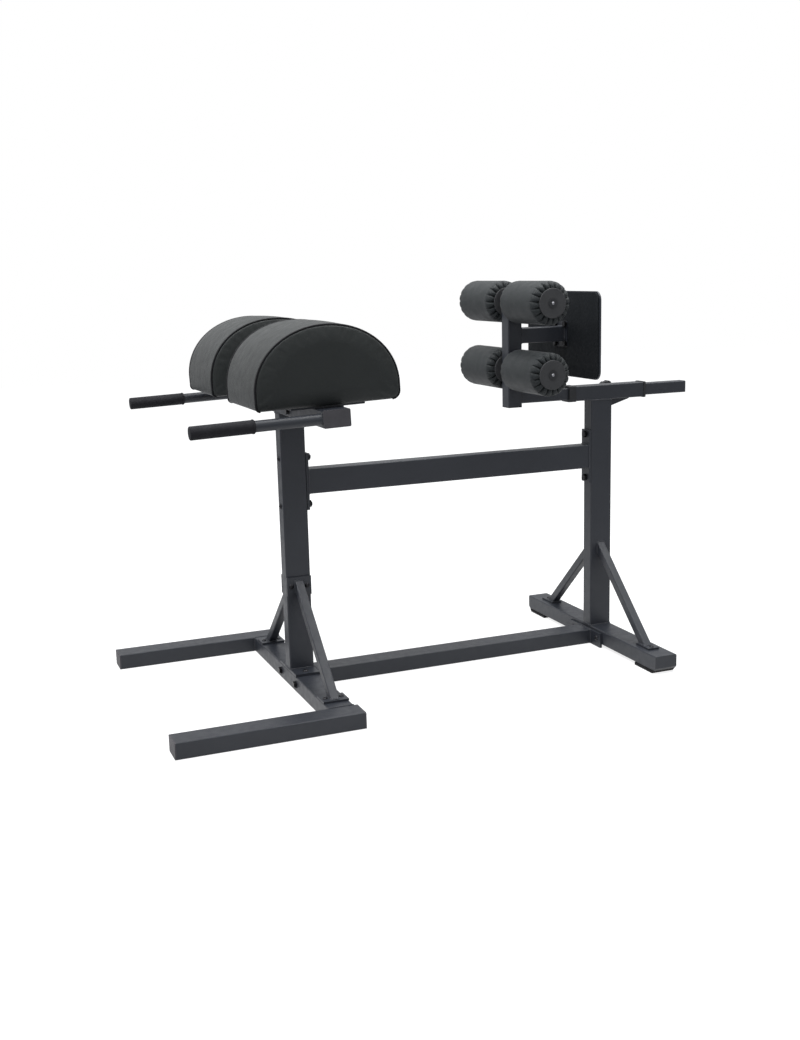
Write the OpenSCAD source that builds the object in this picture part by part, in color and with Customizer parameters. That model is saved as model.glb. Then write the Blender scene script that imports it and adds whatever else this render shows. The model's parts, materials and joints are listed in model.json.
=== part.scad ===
/* [Main tubes] */
// Long side of the main rectangular tube
tube_w = 80; // [60:1:90]
// Short side of the main rectangular tube
tube_h = 50; // [40:1:60]
// Wall of the main tube
tube_wall = 3; // [2:0.5:4]
// Outer corner radius of every frame tube
tube_round = 4; // [3.5:0.5:6]
// Thickness of the bolted end plates on the two beams
plate_t = 8; // [5:1:12]

/* [Base] */
// Distance between the centres of the two uprights
post_gap = 1100; // [1000:10:1300]
// Reach of the front legs ahead of the front upright
leg_front = 510; // [400:10:560]
// Reach of the front legs behind the front upright
leg_rear = 50; // [42:1:70]
// Width over the outer faces of the two front legs
base_w = 960; // [900:10:1060]
// Length of the rear foot over its end caps
rear_foot_w = 870; // [820:10:960]
// Height of the rubber pads under the rear foot
rear_pad_h = 10; // [6:1:14]
// Length of each rubber pad under the rear foot
rear_pad_len = 112; // [80:1:130]
// Height and run of the chamfer at each end of the rear foot
foot_chamfer = 20; // [16:1:22]
// Width of the lower beam's end plates
lower_plate_w = 210; // [190:2:230]
// Distance between the two bolts of a lower end plate
lower_bolt_gap = 160; // [144:2:166]

/* [Uprights and braces] */
// Height of the front upright's top above the floor
front_post_top = 880; // [840:5:940]
// Height of the rear upright's top above the floor
rear_post_top = 852; // [830:2:870]
// Height of the upper beam's underside above the floor
beam_z = 620; // [560:10:640]
// Height of the upper beam's end plates
upper_plate_h = 180; // [170:2:200]
// Length of the front upright's base plate
base_plate_len = 170; // [150:2:190]
// Distance between the two bolts of that base plate
base_bolt_gap = 120; // [104:2:126]
// Side of the square brace tube
brace_side = 28; // [20:1:30]
// Wall of the brace tube
brace_wall = 2; // [1.5:0.5:3]
// Thickness of the braces' end plates
brace_plate_t = 6; // [4:1:8]
// Height at which the front braces meet the front upright
brace_top = 330; // [280:5:380]
// Height at which the rear braces meet the rear upright
rear_brace_top = 338; // [290:2:380]
// Distance from the middle at which the front braces meet the base
brace_foot = 330; // [280:5:350]
// Distance from the middle at which the rear braces meet the rear foot
rear_brace_foot = 312; // [260:2:330]
// Length of a brace plate
brace_plate_len = 60; // [52:1:70]
// Distance between the two bolts of a brace plate
brace_bolt_gap = 52; // [48:1:56]

// Length of a rear brace's plate along the foot
rear_plate_len = 76; // [72:1:84]
// Width of a rear brace's plate
rear_plate_w = 40; // [30:1:56]
// How far the middle of a rear brace's plate lies outside the foot of the brace
rear_plate_out = 14; // [12:1:18]
// Distance of a rear brace's bolt from the outer end of its plate
rear_bolt_edge = 14; // [11:1:16]

/* [Slide] */
// Outer side of the fixed sleeve on the rear upright
sleeve_side = 50; // [48:1:52]
// Length of the fixed sleeve
sleeve_len = 265; // [240:5:300]
// Distance the sleeve reaches ahead of the rear upright's centre
sleeve_front = 100; // [90:5:125]
// Outer side of the sliding tube
slide_side = 40; // [36:1:42]
// Wall of the sliding tube
slide_wall = 3; // [2:0.5:4]
// Gap on each side between the sliding tube and its bushes
slide_gap = 0.1; // [0.05:0.05:0.2]
// Distance the sliding tube reaches behind the rear upright's centre
slide_rear = 340; // [310:5:400]
// Length of each slide bush inside the sleeve
bush_len = 40; // [25:1:60]
// Length of the front slide bush's collar
front_collar = 26; // [20:1:30]
// Length of the rear slide bush's collar
rear_collar = 8; // [6:1:14]
// How far each collar stands out round the sleeve
collar_lip = 2; // [1:0.5:3]
// Height of the gusset under the sleeve
gusset_h = 28; // [20:1:40]
// Length of the gusset
gusset_len = 80; // [60:2:100]

/* [Clamp knob] */
// Distance of the clamp screw behind the rear upright's centre
clamp_x = 71; // [60:1:80]
// Diameter of the clamp knob
knob_d = 60; // [50:1:70]
// Thickness of the clamp knob
knob_t = 25; // [18:1:30]
// Number of finger hollows round the knob
knob_lobes = 7; // [5:1:9]
// Diameter of the clamp screw
screw_d = 12; // [10:1:14]

/* [Rollers and foot plate] */
// Distance of the roller post's centre behind the front upright
roller_x = 772; // [740:2:800]
// Side of the roller post and of the foot plate's arm
post_side = 50; // [46:1:54]
// Height of the lower axle above the centre of the slide
lower_axle_rise = 93; // [90:1:120]
// Distance between the two axles
axle_spread = 220; // [200:2:260]
// How far the roller post reaches above the upper axle
post_above = 35; // [26:1:50]
// How far the roller post reaches below the centre of the slide
post_below = 32; // [26:1:40]
// Diameter of a foam roller
roller_d = 136; // [110:2:140]
// Length of a foam roller
roller_len = 240; // [200:5:270]
// Radius of the rollers' soft shoulders
roller_shoulder = 22; // [14:1:28]
// Number of gathered folds round each roller end
folds = 18; // [14:1:22]
// Depth of those folds
fold_depth = 6; // [2:0.5:8]
// Diameter of the fixed axle
axle_d = 20; // [16:1:24]
// Gap round the axle inside a roller's core
axle_gap = 0.05; // [0.02:0.01:0.1]
// Outer diameter of the roller's core tube
core_d = 34; // [30:1:40]
// Diameter of the flat disc at a roller's end
disc_d = 92; // [70:2:100]
// Thickness of that disc
disc_t = 4; // [3:0.5:6]
// Distance from the roller post's centre to the tread's face
plate_reach = 185; // [170:5:190]
// Width of the foot plate
plate_w = 480; // [400:10:540]
// Height of the foot plate
plate_h = 280; // [260:5:300]
// Corner radius of the foot plate
plate_r = 28; // [15:1:40]
// Thickness of the steel foot plate
plate_steel = 6; // [4:1:8]
// Thickness of the rubber tread on it
tread_t = 4; // [3:0.5:6]
// Side of the arm's square flange
arm_flange = 84; // [80:1:96]
// Distance between two flange bolts
flange_bolt_gap = 64; // [62:1:70]

/* [Handles] */
// Angle by which the cross tube, its handles and the pads tip forward
top_tilt = 2; // [0:0.5:4]
// Length of the cross tube that carries the pads and handles
cross_w = 920; // [880:10:960]
// Distance from the cross tube's end to a handle's axis
handle_in = 18; // [18:1:30]
// Outer diameter of the handle tube
handle_d = 32; // [28:0.5:36]
// Length of a handle ahead of the cross tube
handle_len = 371; // [320:5:400]
// Length of a grip
grip_len = 180; // [140:5:200]
// Wall of a grip
grip_wall = 3; // [2.5:0.5:6]

/* [Pads] */
// Distance from the middle to a pad's inner side
pad_gap = 100; // [85:1:120]
// Width of one pad
pad_w = 300; // [280:2:320]
// Length of a pad, front to back
pad_len = 430; // [400:5:450]
// Height of a pad, with its board
pad_h = 230; // [200:5:250]
// Radius of a pad's lower rear corner
heel_r = 24; // [10:1:26]
// Radius of a pad's lower front corner
toe_r = 12; // [6:1:20]
// Height at which a pad's arch springs
arch_z = 44; // [36:1:54]
// How far the middle of a pad swells above its seams
crown = 4; // [1:0.5:8]
// How far a pad's sides are drawn in at the top and bottom
draw_in = 5; // [2:0.5:8]
// Thickness of the wooden board under a pad
board_t = 12; // [9:1:15]
// Margin between the board and the outside of the pad
board_in = 24; // [20:1:30]
// Thickness of the steel pad brackets
bracket_t = 6; // [4:1:8]
// Length of a pad bracket, front to back
bracket_len = 220; // [180:5:260]
// Width of a pad bracket
bracket_w = 276; // [272:2:280]

/* [Hidden] */
$fn = 48;

// Colours of the finishes
coat = [0.20, 0.22, 0.25];
black = [0.07, 0.07, 0.08];
cap_grey = [0.33, 0.33, 0.38];
zinc = [0.62, 0.63, 0.65];
bolt_black = [0.10, 0.10, 0.11];
vinyl = [0.09, 0.09, 0.10];
plywood = [0.62, 0.48, 0.32];

// Places along X, with the origin under the middle of the whole length
total_len = leg_front + post_gap + slide_rear;
front_x = leg_front - total_len / 2;
rear_x = front_x + post_gap;
post_x = front_x + roller_x;
slide_end = rear_x + slide_rear;
leg_y = base_w / 2 - tube_w / 2;
inner_y = base_w / 2 - tube_w;
beam_front = front_x + tube_w / 2;
beam_rear = rear_x - tube_w / 2;

// Fasteners: shank diameters of the bolts, and gaps round and beside them
m6 = 6;
m8 = 8;
m10 = 10;
m12 = 12;
hole_gap = 0.5;
seat_gap = 0.3;
over = 1;

// End caps: thickness of the flange, depth of the plug and gap round the plug
cap_t = 4;
plug_len = 16;
plug_gap = 0.3;

// Heights that several pieces share
rear_foot_top = rear_pad_h + tube_h;
cross_top = front_post_top + tube_h;
sleeve_z = rear_post_top + sleeve_side / 2;
sleeve_start = rear_x - sleeve_front;
sleeve_end = sleeve_start + sleeve_len;
pad_z = cross_top + bracket_t;
pad_y = pad_gap + pad_w / 2;
upper_beam_mid = beam_z + tube_w / 2;
lower_axle_z = sleeve_z + lower_axle_rise;
upper_axle_z = lower_axle_z + axle_spread;
arm_z = (lower_axle_z + upper_axle_z) / 2;
roller_post_top = upper_axle_z + post_above;
roller_post_foot = sleeve_z - post_below;
handle_y = cross_w / 2 - handle_in;
rear_plate_y = rear_brace_foot + rear_plate_out;
plate_bolt_z = upper_plate_h / 2 - 15;
lower_rear_bolt_z = (rear_pad_h + tube_h) / 2;

// Places along the roller axles, measured from the middle
disc_y = post_side / 2 + 7;
roller_start = disc_y + disc_t;
roller_end = roller_start + roller_len;
axle_end = roller_end + disc_t + seat_gap;
washer_t = 1.6;

// The foot plate, front to back
tread_x = post_x + plate_reach;
steel_x = tread_x + tread_t;
flange_t = 6;
flange_start = steel_x - flange_t;

// Rectangle of w along X and h along Y with round corners of radius r
module rounded(w, h, r) {
    square([w - 2 * r, h], center = true);
    square([w, h - 2 * r], center = true);
    for (x = [-1, 1], y = [-1, 1])
        translate([x * (w / 2 - r), y * (h / 2 - r)])
            circle(r);
}

// Hollow rectangular tube that stands on the origin
module tube(w, h, len, wall = tube_wall) {
    linear_extrude(len)
        difference() {
            rounded(w, h, tube_round);
            rounded(w - 2 * wall, h - 2 * wall, max(tube_round - wall, 0.5));
        }
}

// Turns what stands along Z so that it lies along X, its w side level and h side upright
module along_x() rotate([90, 0, 90]) children();

// Turns what stands along Z so that it lies along Y, its w side along X and h side upright
module along_y() rotate([-90, 0, 0]) children();

// Both mirror images about the middle plane
module both_sides() {
    children();
    mirror([0, 1, 0]) children();
}

// Tips what stands on the front upright forward about the middle of its top
module tipped() {
    translate([front_x, 0, front_post_top])
        rotate([0, -top_tilt, 0])
            translate([-front_x, 0, -front_post_top]) children();
}

// The right-hand piece, or its mirror image for the left
module on_side(left) {
    if (left) mirror([0, 1, 0]) children();
    else children();
}

// Insert for the end of a w by h tube whose mouth is at the origin and opens along +Z
module end_cap(w, h, wall = tube_wall, flange = cap_t) {
    linear_extrude(flange) rounded(w, h, tube_round);
    translate([0, 0, -plug_len])
        linear_extrude(plug_len + over)
            rounded(w - 2 * (wall + plug_gap), h - 2 * (wall + plug_gap), 1.5);
}

// Hexagon bolt head with a washer face, seated on the origin and rising along +Z
module bolt_head(d) {
    cylinder(h = 2, d = 2 * d);
    translate([0, 0, 2]) cylinder(h = 0.6 * d, d = 1.9 * d, $fn = 6);
}

// Dome bolt head, seated on the origin and rising along +Z
module dome_head(d) {
    rise = 0.5 * d;
    ball = (rise * rise + pow(0.8 * d, 2)) / (2 * rise);
    intersection() {
        translate([0, 0, rise - ball]) sphere(ball);
        cylinder(h = rise, d = 1.6 * d);
    }
}

// Hexagon nut with a washer, from the origin down along -Z, round a shank of diameter d
module nut(d) {
    translate([0, 0, -2]) cylinder(h = 2, d = 2 * d);
    translate([0, 0, -2 - 0.8 * d]) cylinder(h = 0.8 * d, d = 1.9 * d, $fn = 6);
}

// Bolt through a grip of the given length: head above the origin, nut below the grip
module through_bolt(d, grip, dome = false) {
    if (dome) dome_head(d);
    else bolt_head(d);
    translate([0, 0, -grip - 1.2 * d]) cylinder(h = grip + 1.2 * d, d = d);
    translate([0, 0, -grip]) nut(d);
}

// Hole for a shank, centred on the origin and long enough for the grip both ways
module bolt_hole(d, grip) cylinder(h = 2 * grip, d = d + 2 * hole_gap, center = true);

// Base

module front_leg(left) {
    color(coat)
        on_side(left)
            translate([front_x - leg_front + cap_t, leg_y, tube_h / 2])
                along_x() tube(tube_w, tube_h, leg_front + leg_rear - 2 * cap_t);
}

module front_leg_left() front_leg(true);
module front_leg_right() front_leg(false);

module lower_front_bolts_at() {
    for (s = [-1, 1])
        translate([front_x - tube_w / 2, s * lower_bolt_gap / 2, tube_h / 2])
            rotate([0, -90, 0]) children();
}

module lower_rear_bolts_at() {
    for (s = [-1, 1])
        translate([beam_rear - plate_t, s * lower_bolt_gap / 2, lower_rear_bolt_z])
            rotate([0, -90, 0]) children();
}

// Seats of the base plate's bolts on the front upright's foot
module base_bolts_at() {
    for (s = [-1, 1])
        translate([front_x, s * base_bolt_gap / 2, tube_h + plate_t]) children();
}

// Seats of the two bolts of each front brace's base plate, with the braces at x
module front_foot_bolts_at(x) {
    both_sides()
        for (s = [-1, 1])
            translate([x + s * brace_bolt_gap / 2, brace_foot, tube_h + brace_plate_t]) children();
}

// Seat of the bolt of each rear brace's base plate, with the braces at x
module rear_foot_bolts_at(x) {
    both_sides()
        translate([x, rear_plate_y + rear_plate_len / 2 - rear_bolt_edge,
                   rear_foot_top + brace_plate_t])
            children();
}

// Seats of the two bolts that cross an upright at the brace tops
module brace_top_bolts_at(x) {
    for (s = [-1, 1])
        translate([x + s * brace_bolt_gap / 2, -tube_h / 2 - brace_plate_t, brace_top])
            rotate([90, 0, 0]) children();
}

module front_cross_member() {
    color(coat)
        difference() {
            translate([front_x, -inner_y, tube_h / 2])
                along_y() tube(tube_w, tube_h, 2 * inner_y);
            lower_front_bolts_at() bolt_hole(m12, tube_w + over);
            base_bolts_at() bolt_hole(m12, plate_t + 2 * tube_wall);
            front_foot_bolts_at(front_x) bolt_hole(m10, brace_plate_t + 2 * tube_wall);
        }
}

module tube_end_caps() {
    color(cap_grey) {
        both_sides() {
            translate([front_x - leg_front + cap_t, leg_y, tube_h / 2])
                mirror([1, 0, 0]) along_x() end_cap(tube_w, tube_h);
            translate([front_x + leg_rear - cap_t, leg_y, tube_h / 2])
                along_x() end_cap(tube_w, tube_h);
        }
        tipped()
            both_sides()
                translate([front_x, cross_w / 2 - cap_t, front_post_top + tube_h / 2])
                    along_y() end_cap(tube_w, tube_h);
    }
}

// Base plate and tube of the front upright, its top cut to the cross tube's tilt
module front_upright() {
    top_rise = tube_w / 2 * tan(top_tilt) + over;
    color(coat)
        difference() {
            union() {
                translate([front_x, 0, tube_h + plate_t / 2])
                    cube([tube_w, base_plate_len, plate_t], center = true);
                translate([front_x, 0, tube_h + plate_t])
                    tube(tube_w, tube_h, front_post_top + top_rise - tube_h - plate_t);
            }
            tipped()
                translate([front_x, 0, front_post_top + tube_h / 2])
                    cube([2 * tube_w, 2 * tube_h, tube_h], center = true);
            base_bolts_at() bolt_hole(m12, plate_t + over);
            upper_front_bolts_at() bolt_hole(m12, tube_w + over);
            brace_top_bolts_at(front_x) bolt_hole(m10, tube_h + 2 * brace_plate_t);
        }
}

module upper_front_bolts_at() {
    for (s = [-1, 1])
        translate([front_x - tube_w / 2, 0, upper_beam_mid + s * plate_bolt_z])
            rotate([0, -90, 0]) children();
}

module upper_rear_bolts_at() {
    for (s = [-1, 1])
        translate([beam_rear - plate_t, 0, upper_beam_mid + s * plate_bolt_z])
            rotate([0, -90, 0]) children();
}

// Slanted square tube from (y0, z0) on an upright to (y1, z1) on the base, trimmed square
module brace_tube(y0, z0, y1, z1, side) {
    run = y1 - y0;
    drop = z0 - z1;
    slant = sqrt(run * run + drop * drop);
    intersection() {
        translate([0, y0, z0])
            rotate([180 + atan2(run, drop), 0, 0])
                translate([0, 0, -side]) tube(side, side, slant + 2 * side, brace_wall);
        translate([-side, y0, z1]) cube([2 * side, run + 2 * side, drop + 2 * side]);
    }
}

module front_brace(left) {
    color(coat)
        on_side(left)
            translate([front_x, 0, 0])
                difference() {
                    union() {
                        brace_tube(tube_h / 2 + brace_plate_t, brace_top,
                                   brace_foot, tube_h + brace_plate_t, brace_side);
                        translate([0, tube_h / 2 + brace_plate_t / 2, brace_top])
                            cube([tube_w, brace_plate_t, brace_plate_len], center = true);
                        translate([0, brace_foot, tube_h + brace_plate_t / 2])
                            cube([tube_w, brace_plate_len, brace_plate_t], center = true);
                    }
                    brace_top_bolts_at(0) bolt_hole(m10, tube_h + 2 * brace_plate_t + over);
                    front_foot_bolts_at(0) bolt_hole(m10, 2 * brace_plate_t);
                }
}

module front_brace_left() front_brace(true);
module front_brace_right() front_brace(false);

module lower_beam() {
    color(coat)
        difference() {
            union() {
                translate([beam_front + plate_t, 0, tube_h / 2])
                    along_x() tube(tube_w, tube_h, beam_rear - beam_front - 2 * plate_t);
                for (x = [beam_front + plate_t / 2, beam_rear - plate_t / 2])
                    translate([x, 0, tube_h / 2])
                        cube([plate_t, lower_plate_w, tube_h], center = true);
            }
            lower_front_bolts_at() bolt_hole(m12, tube_w + plate_t + over);
            lower_rear_bolts_at() bolt_hole(m12, plate_t + over);
        }
}

module upper_beam() {
    color(coat)
        difference() {
            union() {
                translate([beam_front + plate_t, 0, upper_beam_mid])
                    along_x() tube(tube_h, tube_w, beam_rear - beam_front - 2 * plate_t);
                for (x = [beam_front + plate_t / 2, beam_rear - plate_t / 2])
                    translate([x, 0, upper_beam_mid])
                        cube([plate_t, tube_h, upper_plate_h], center = true);
            }
            upper_front_bolts_at() bolt_hole(m12, tube_w + plate_t + over);
            upper_rear_bolts_at() bolt_hole(m12, plate_t + over);
        }
}

// Rear foot

// The end caps of the rear foot are thick, and their lower edge is chamfered
rear_cap_t = 15;
rear_tube_end = rear_foot_w / 2 - rear_cap_t;

module rear_foot_tube() {
    color(coat)
        difference() {
            translate([rear_x, -rear_tube_end, rear_pad_h + tube_h / 2])
                along_y() tube(tube_w, tube_h, 2 * rear_tube_end);
            lower_rear_bolts_at() bolt_hole(m12, plate_t + 2 * tube_wall);
            rear_foot_bolts_at(rear_x) bolt_hole(m10, brace_plate_t + 2 * tube_wall);
            translate([rear_x, 0, rear_pad_h])
                both_sides()
                    translate([0, rear_foot_w / 2 - foot_chamfer - rear_pad_len / 2, 0])
                        cylinder(h = 3 * tube_wall, d = m10 + 2 * hole_gap, center = true);
        }
}

module rear_foot_caps() {
    color(coat)
        both_sides()
            difference() {
                translate([rear_x, rear_tube_end, rear_pad_h + tube_h / 2])
                    along_y() end_cap(tube_w, tube_h, tube_wall, rear_cap_t);
                foot_bevel();
            }
}

// What the chamfer takes off the outer end of the rear foot
module foot_bevel() {
    translate([rear_x - tube_w, rear_foot_w / 2 - foot_chamfer, 0])
        rotate([90, 0, 90])
            linear_extrude(2 * tube_w)
                polygon([[0, -over], [0, 0], [foot_chamfer, foot_chamfer],
                         [foot_chamfer + over, foot_chamfer], [foot_chamfer + over, -over]]);
}

// Rubber pad with a stud that plugs into the foot tube
module rear_foot_pad(left) {
    color(black)
        on_side(left)
            difference() {
                union() {
                    translate([rear_x, rear_foot_w / 2 - foot_chamfer / 2 - rear_pad_len / 2,
                               rear_pad_h / 2])
                        cube([tube_w, rear_pad_len, rear_pad_h], center = true);
                    translate([rear_x, rear_foot_w / 2 - foot_chamfer - rear_pad_len / 2, 0])
                        cylinder(h = rear_pad_h + tube_wall + 4, d = m10);
                }
                foot_bevel();
            }
}

module rear_foot_pad_left() rear_foot_pad(true);
module rear_foot_pad_right() rear_foot_pad(false);

module rear_upright() {
    color(coat) {
        difference() {
            translate([rear_x, 0, rear_foot_top])
                tube(tube_w, tube_h, rear_post_top - rear_foot_top);
            upper_rear_bolts_at() bolt_hole(m12, plate_t + 2 * tube_wall);
        }
        translate([rear_x + tube_w / 2, plate_t / 2, rear_post_top])
            rotate([90, 0, 0])
                linear_extrude(plate_t)
                    polygon([[-over, 0], [gusset_len, 0], [gusset_len, -4], [0, -gusset_h],
                             [-over, -gusset_h]]);
    }
}

module rear_brace(left) {
    color(coat)
        on_side(left)
            translate([rear_x, 0, 0])
                difference() {
                    union() {
                        brace_tube(tube_h / 2, rear_brace_top, rear_brace_foot,
                                   rear_foot_top + brace_plate_t, brace_side);
                        translate([0, rear_plate_y, rear_foot_top + brace_plate_t / 2])
                            cube([rear_plate_w, rear_plate_len, brace_plate_t], center = true);
                    }
                    rear_foot_bolts_at(0) bolt_hole(m10, 2 * brace_plate_t);
                }
}

module rear_brace_left() rear_brace(true);
module rear_brace_right() rear_brace(false);

// Slide

// The bush fills the sleeve's bore, and its own bore clears the sliding tube
bush_out = sleeve_side - 2 * tube_wall;
bush_in = slide_side + 2 * slide_gap;
boss_len = 12;
boss_d = 2 * screw_d;

module slide_sleeve() {
    color(coat)
        difference() {
            union() {
                translate([sleeve_start, 0, sleeve_z])
                    along_x() tube(sleeve_side, sleeve_side, sleeve_len);
                translate([rear_x + clamp_x, sleeve_side / 2, sleeve_z])
                    along_y() cylinder(h = boss_len, d = boss_d);
            }
            translate([rear_x + clamp_x, slide_side / 2, sleeve_z])
                along_y() cylinder(h = sleeve_side, d = screw_d + 2 * axle_gap);
        }
}

// Bush with its collar on the sleeve's mouth at the origin, which opens along +Z
module slide_bush(collar_len) {
    color(black)
        difference() {
            union() {
                linear_extrude(collar_len)
                    rounded(sleeve_side + 2 * collar_lip, sleeve_side + 2 * collar_lip, tube_round);
                translate([0, 0, -bush_len])
                    linear_extrude(bush_len + over)
                        rounded(bush_out, bush_out, max(tube_round - tube_wall, 0.5));
            }
            translate([0, 0, -bush_len - over])
                linear_extrude(bush_len + collar_len + 2 * over)
                    rounded(bush_in, bush_in, tube_round - slide_gap);
        }
}

module front_slide_bush() {
    translate([sleeve_start, 0, sleeve_z]) mirror([1, 0, 0]) along_x() slide_bush(front_collar);
}

module rear_slide_bush() {
    translate([sleeve_end, 0, sleeve_z]) along_x() slide_bush(rear_collar);
}

module slide_tube() {
    start = post_x + post_side / 2;
    color(coat)
        translate([start, 0, sleeve_z])
            along_x() tube(slide_side, slide_side, slide_end - cap_t - start, slide_wall);
}

module slide_end_cap() {
    color(black)
        translate([slide_end - cap_t, 0, sleeve_z])
            along_x() end_cap(slide_side, slide_side, slide_wall);
}

// Clamp knob with its screw

knob_y = sleeve_side / 2 + boss_len + 10;
hub_len = 8;

module clamp_screw() {
    tip = slide_side / 2 + seat_gap;
    color(zinc)
        translate([rear_x + clamp_x, tip, sleeve_z])
            along_y() cylinder(h = knob_y + hub_len + knob_t / 2 - tip, d = screw_d);
}

module clamp_knob() {
    hollow = knob_d * 0.16;
    color(black)
        translate([rear_x + clamp_x, knob_y, sleeve_z])
            along_y()
                difference() {
                    union() {
                        cylinder(h = hub_len + over, d = boss_d);
                        translate([0, 0, hub_len])
                            rotate_extrude()
                                polygon([[0, 0], [knob_d / 2 - 3, 0], [knob_d / 2, 3],
                                         [knob_d / 2, knob_t - 6], [knob_d / 2 - 5, knob_t],
                                         [0, knob_t]]);
                    }
                    for (k = [0 : knob_lobes - 1])
                        rotate(k * 360 / knob_lobes)
                            translate([knob_d / 2 + hollow * 0.6, 0, hub_len - over])
                                cylinder(h = knob_t + 2 * over, r = hollow);
                    translate([0, 0, -over])
                        cylinder(h = hub_len + knob_t / 2 + over, d = screw_d);
                }
}

// Rollers and foot plate

// Holes for both axles and their place on the roller post
module axles_at() {
    for (z = [upper_axle_z, lower_axle_z])
        translate([post_x, 0, z]) children();
}

module roller_post() {
    color(coat)
        difference() {
            translate([post_x, 0, roller_post_foot + cap_t])
                tube(post_side, post_side, roller_post_top - roller_post_foot - 2 * cap_t);
            axles_at() rotate([90, 0, 0]) cylinder(h = 2 * post_side, d = axle_d, center = true);
        }
}

module roller_post_caps() {
    color(black) {
        translate([post_x, 0, roller_post_top - cap_t]) end_cap(post_side, post_side);
        translate([post_x, 0, roller_post_foot + cap_t])
            mirror([0, 0, 1]) end_cap(post_side, post_side);
    }
}

module flange_bolts_at() {
    for (y = [-1, 1], z = [-1, 1])
        translate([flange_start, y * flange_bolt_gap / 2, arm_z + z * flange_bolt_gap / 2])
            rotate([0, -90, 0]) children();
}

module foot_plate_arm() {
    start = post_x + post_side / 2;
    color(coat)
        difference() {
            union() {
                translate([start, 0, arm_z])
                    along_x() tube(post_side, post_side, flange_start - start);
                translate([flange_start, 0, arm_z])
                    along_x() linear_extrude(flange_t) rounded(arm_flange, arm_flange, 8);
            }
            flange_bolts_at() bolt_hole(m10, flange_t + over);
        }
}

module foot_plate() {
    color(coat)
        difference() {
            translate([steel_x, 0, arm_z])
                along_x() linear_extrude(plate_steel) rounded(plate_w, plate_h, plate_r);
            flange_bolts_at() bolt_hole(m10, flange_t + plate_steel + over);
        }
}

// Rubber tread with a window round the arm's flange
module foot_plate_tread() {
    window = arm_flange + 6;
    margin = 8;
    color(black)
        difference() {
            translate([tread_x, 0, arm_z])
                along_x()
                    linear_extrude(tread_t)
                        rounded(plate_w - margin, plate_h - margin, plate_r - margin / 2);
            translate([tread_x - over, 0, arm_z])
                along_x() linear_extrude(tread_t + 2 * over) rounded(window, window, 9);
        }
}

module foot_plate_bolts() {
    color(bolt_black) flange_bolts_at() through_bolt(m10, flange_t + plate_steel);
}

module axle() {
    depth = 25;
    rotate([90, 0, 0])
        difference() {
            cylinder(h = 2 * axle_end, d = axle_d, center = true);
            for (s = [0, 1])
                mirror([0, 0, s])
                    translate([0, 0, axle_end - depth]) cylinder(h = depth + over, d = m6);
        }
}

module upper_axle() color(zinc) translate([post_x, 0, upper_axle_z]) axle();
module lower_axle() color(zinc) translate([post_x, 0, lower_axle_z]) axle();

module axle_spacers() {
    color(black)
        axles_at()
            both_sides()
                translate([0, post_side / 2, 0])
                    along_y()
                        difference() {
                            cylinder(h = disc_y - post_side / 2 - seat_gap, d = axle_d + 12);
                            translate([0, 0, -over]) cylinder(h = disc_y, d = axle_d);
                        }
}

// Washers that keep the rollers on their axles
module axle_washers() {
    color(black)
        axles_at()
            both_sides()
                translate([0, axle_end, 0])
                    along_y()
                        difference() {
                            cylinder(h = washer_t, d = 1.5 * axle_d);
                            translate([0, 0, -over]) cylinder(h = washer_t + 2 * over, d = m6);
                        }
}

module axle_end_bolts() {
    color(zinc)
        axles_at()
            both_sides()
                translate([0, axle_end + washer_t, 0])
                    along_y() {
                        dome_head(m6);
                        translate([0, 0, -20]) cylinder(h = 21, d = m6);
                    }
}

// Half section of a core: a tube, and a disc with a bevelled rim at each end
module roller_core_profile() {
    bore = axle_d / 2 + axle_gap;
    rim = disc_d / 2;
    bevel = 1.2;
    len = roller_len + 2 * disc_t;
    polygon([[bore, 0], [rim - bevel, 0], [rim, bevel], [rim, disc_t], [core_d / 2, disc_t],
             [core_d / 2, len - disc_t], [rim, len - disc_t], [rim, len - bevel],
             [rim - bevel, len], [bore, len]]);
}

// Plastic core tube with a flat disc at each end, which turns on the axle
module roller_core(left, z) {
    color(black)
        on_side(left)
            translate([post_x, 0, z])
                along_y()
                    translate([0, 0, disc_y])
                        rotate_extrude() roller_core_profile();
}

module upper_left_roller_core() roller_core(true, upper_axle_z);
module upper_right_roller_core() roller_core(false, upper_axle_z);
module lower_left_roller_core() roller_core(true, lower_axle_z);
module lower_right_roller_core() roller_core(false, lower_axle_z);

// A skin through rings of points, all with as many points, closed end to end into a loop
function flat(list) = [for (row = list) for (p = row) p];

module ring_skin(rings) {
    n = len(rings[0]);
    m = len(rings);
    quads = [for (i = [0 : m - 1], j = [0 : n - 1])
        let (a = i * n + j, b = i * n + (j + 1) % n,
             c = ((i + 1) % m) * n + (j + 1) % n, d = ((i + 1) % m) * n + j)
        [[a, b, c], [a, c, d]]];
    polyhedron(flat(rings), flat(quads), convexity = 8);
}

// Foam roller: a sleeve whose cover is gathered into folds round both shoulders
fold_steps = 3 * folds;

// Where the cover starts, just outside the end disc
roller_rim = disc_d / 2 + 1;

// Radius, place along the roller and depth of the folds, round one shoulder from rim to side
shoulder_steps = 4;

function shoulder() =
    [for (k = [0 : shoulder_steps])
        let (a = k * 90 / shoulder_steps)
        [roller_rim + (roller_d / 2 - roller_rim) * sin(a),
         seat_gap + roller_shoulder * (1 - cos(a)),
         fold_depth * sin(2 * a)]];

// The cover's profile from the bore at one end to the bore at the other
function roller_profile() =
    let (bore = core_d / 2 + seat_gap, near = shoulder())
    concat(
        [[bore, seat_gap, 0]],
        near,
        [for (k = [shoulder_steps : -1 : 0]) [near[k][0], roller_len - near[k][1], near[k][2]]],
        [[bore, roller_len - seat_gap, 0]]
    );

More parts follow.
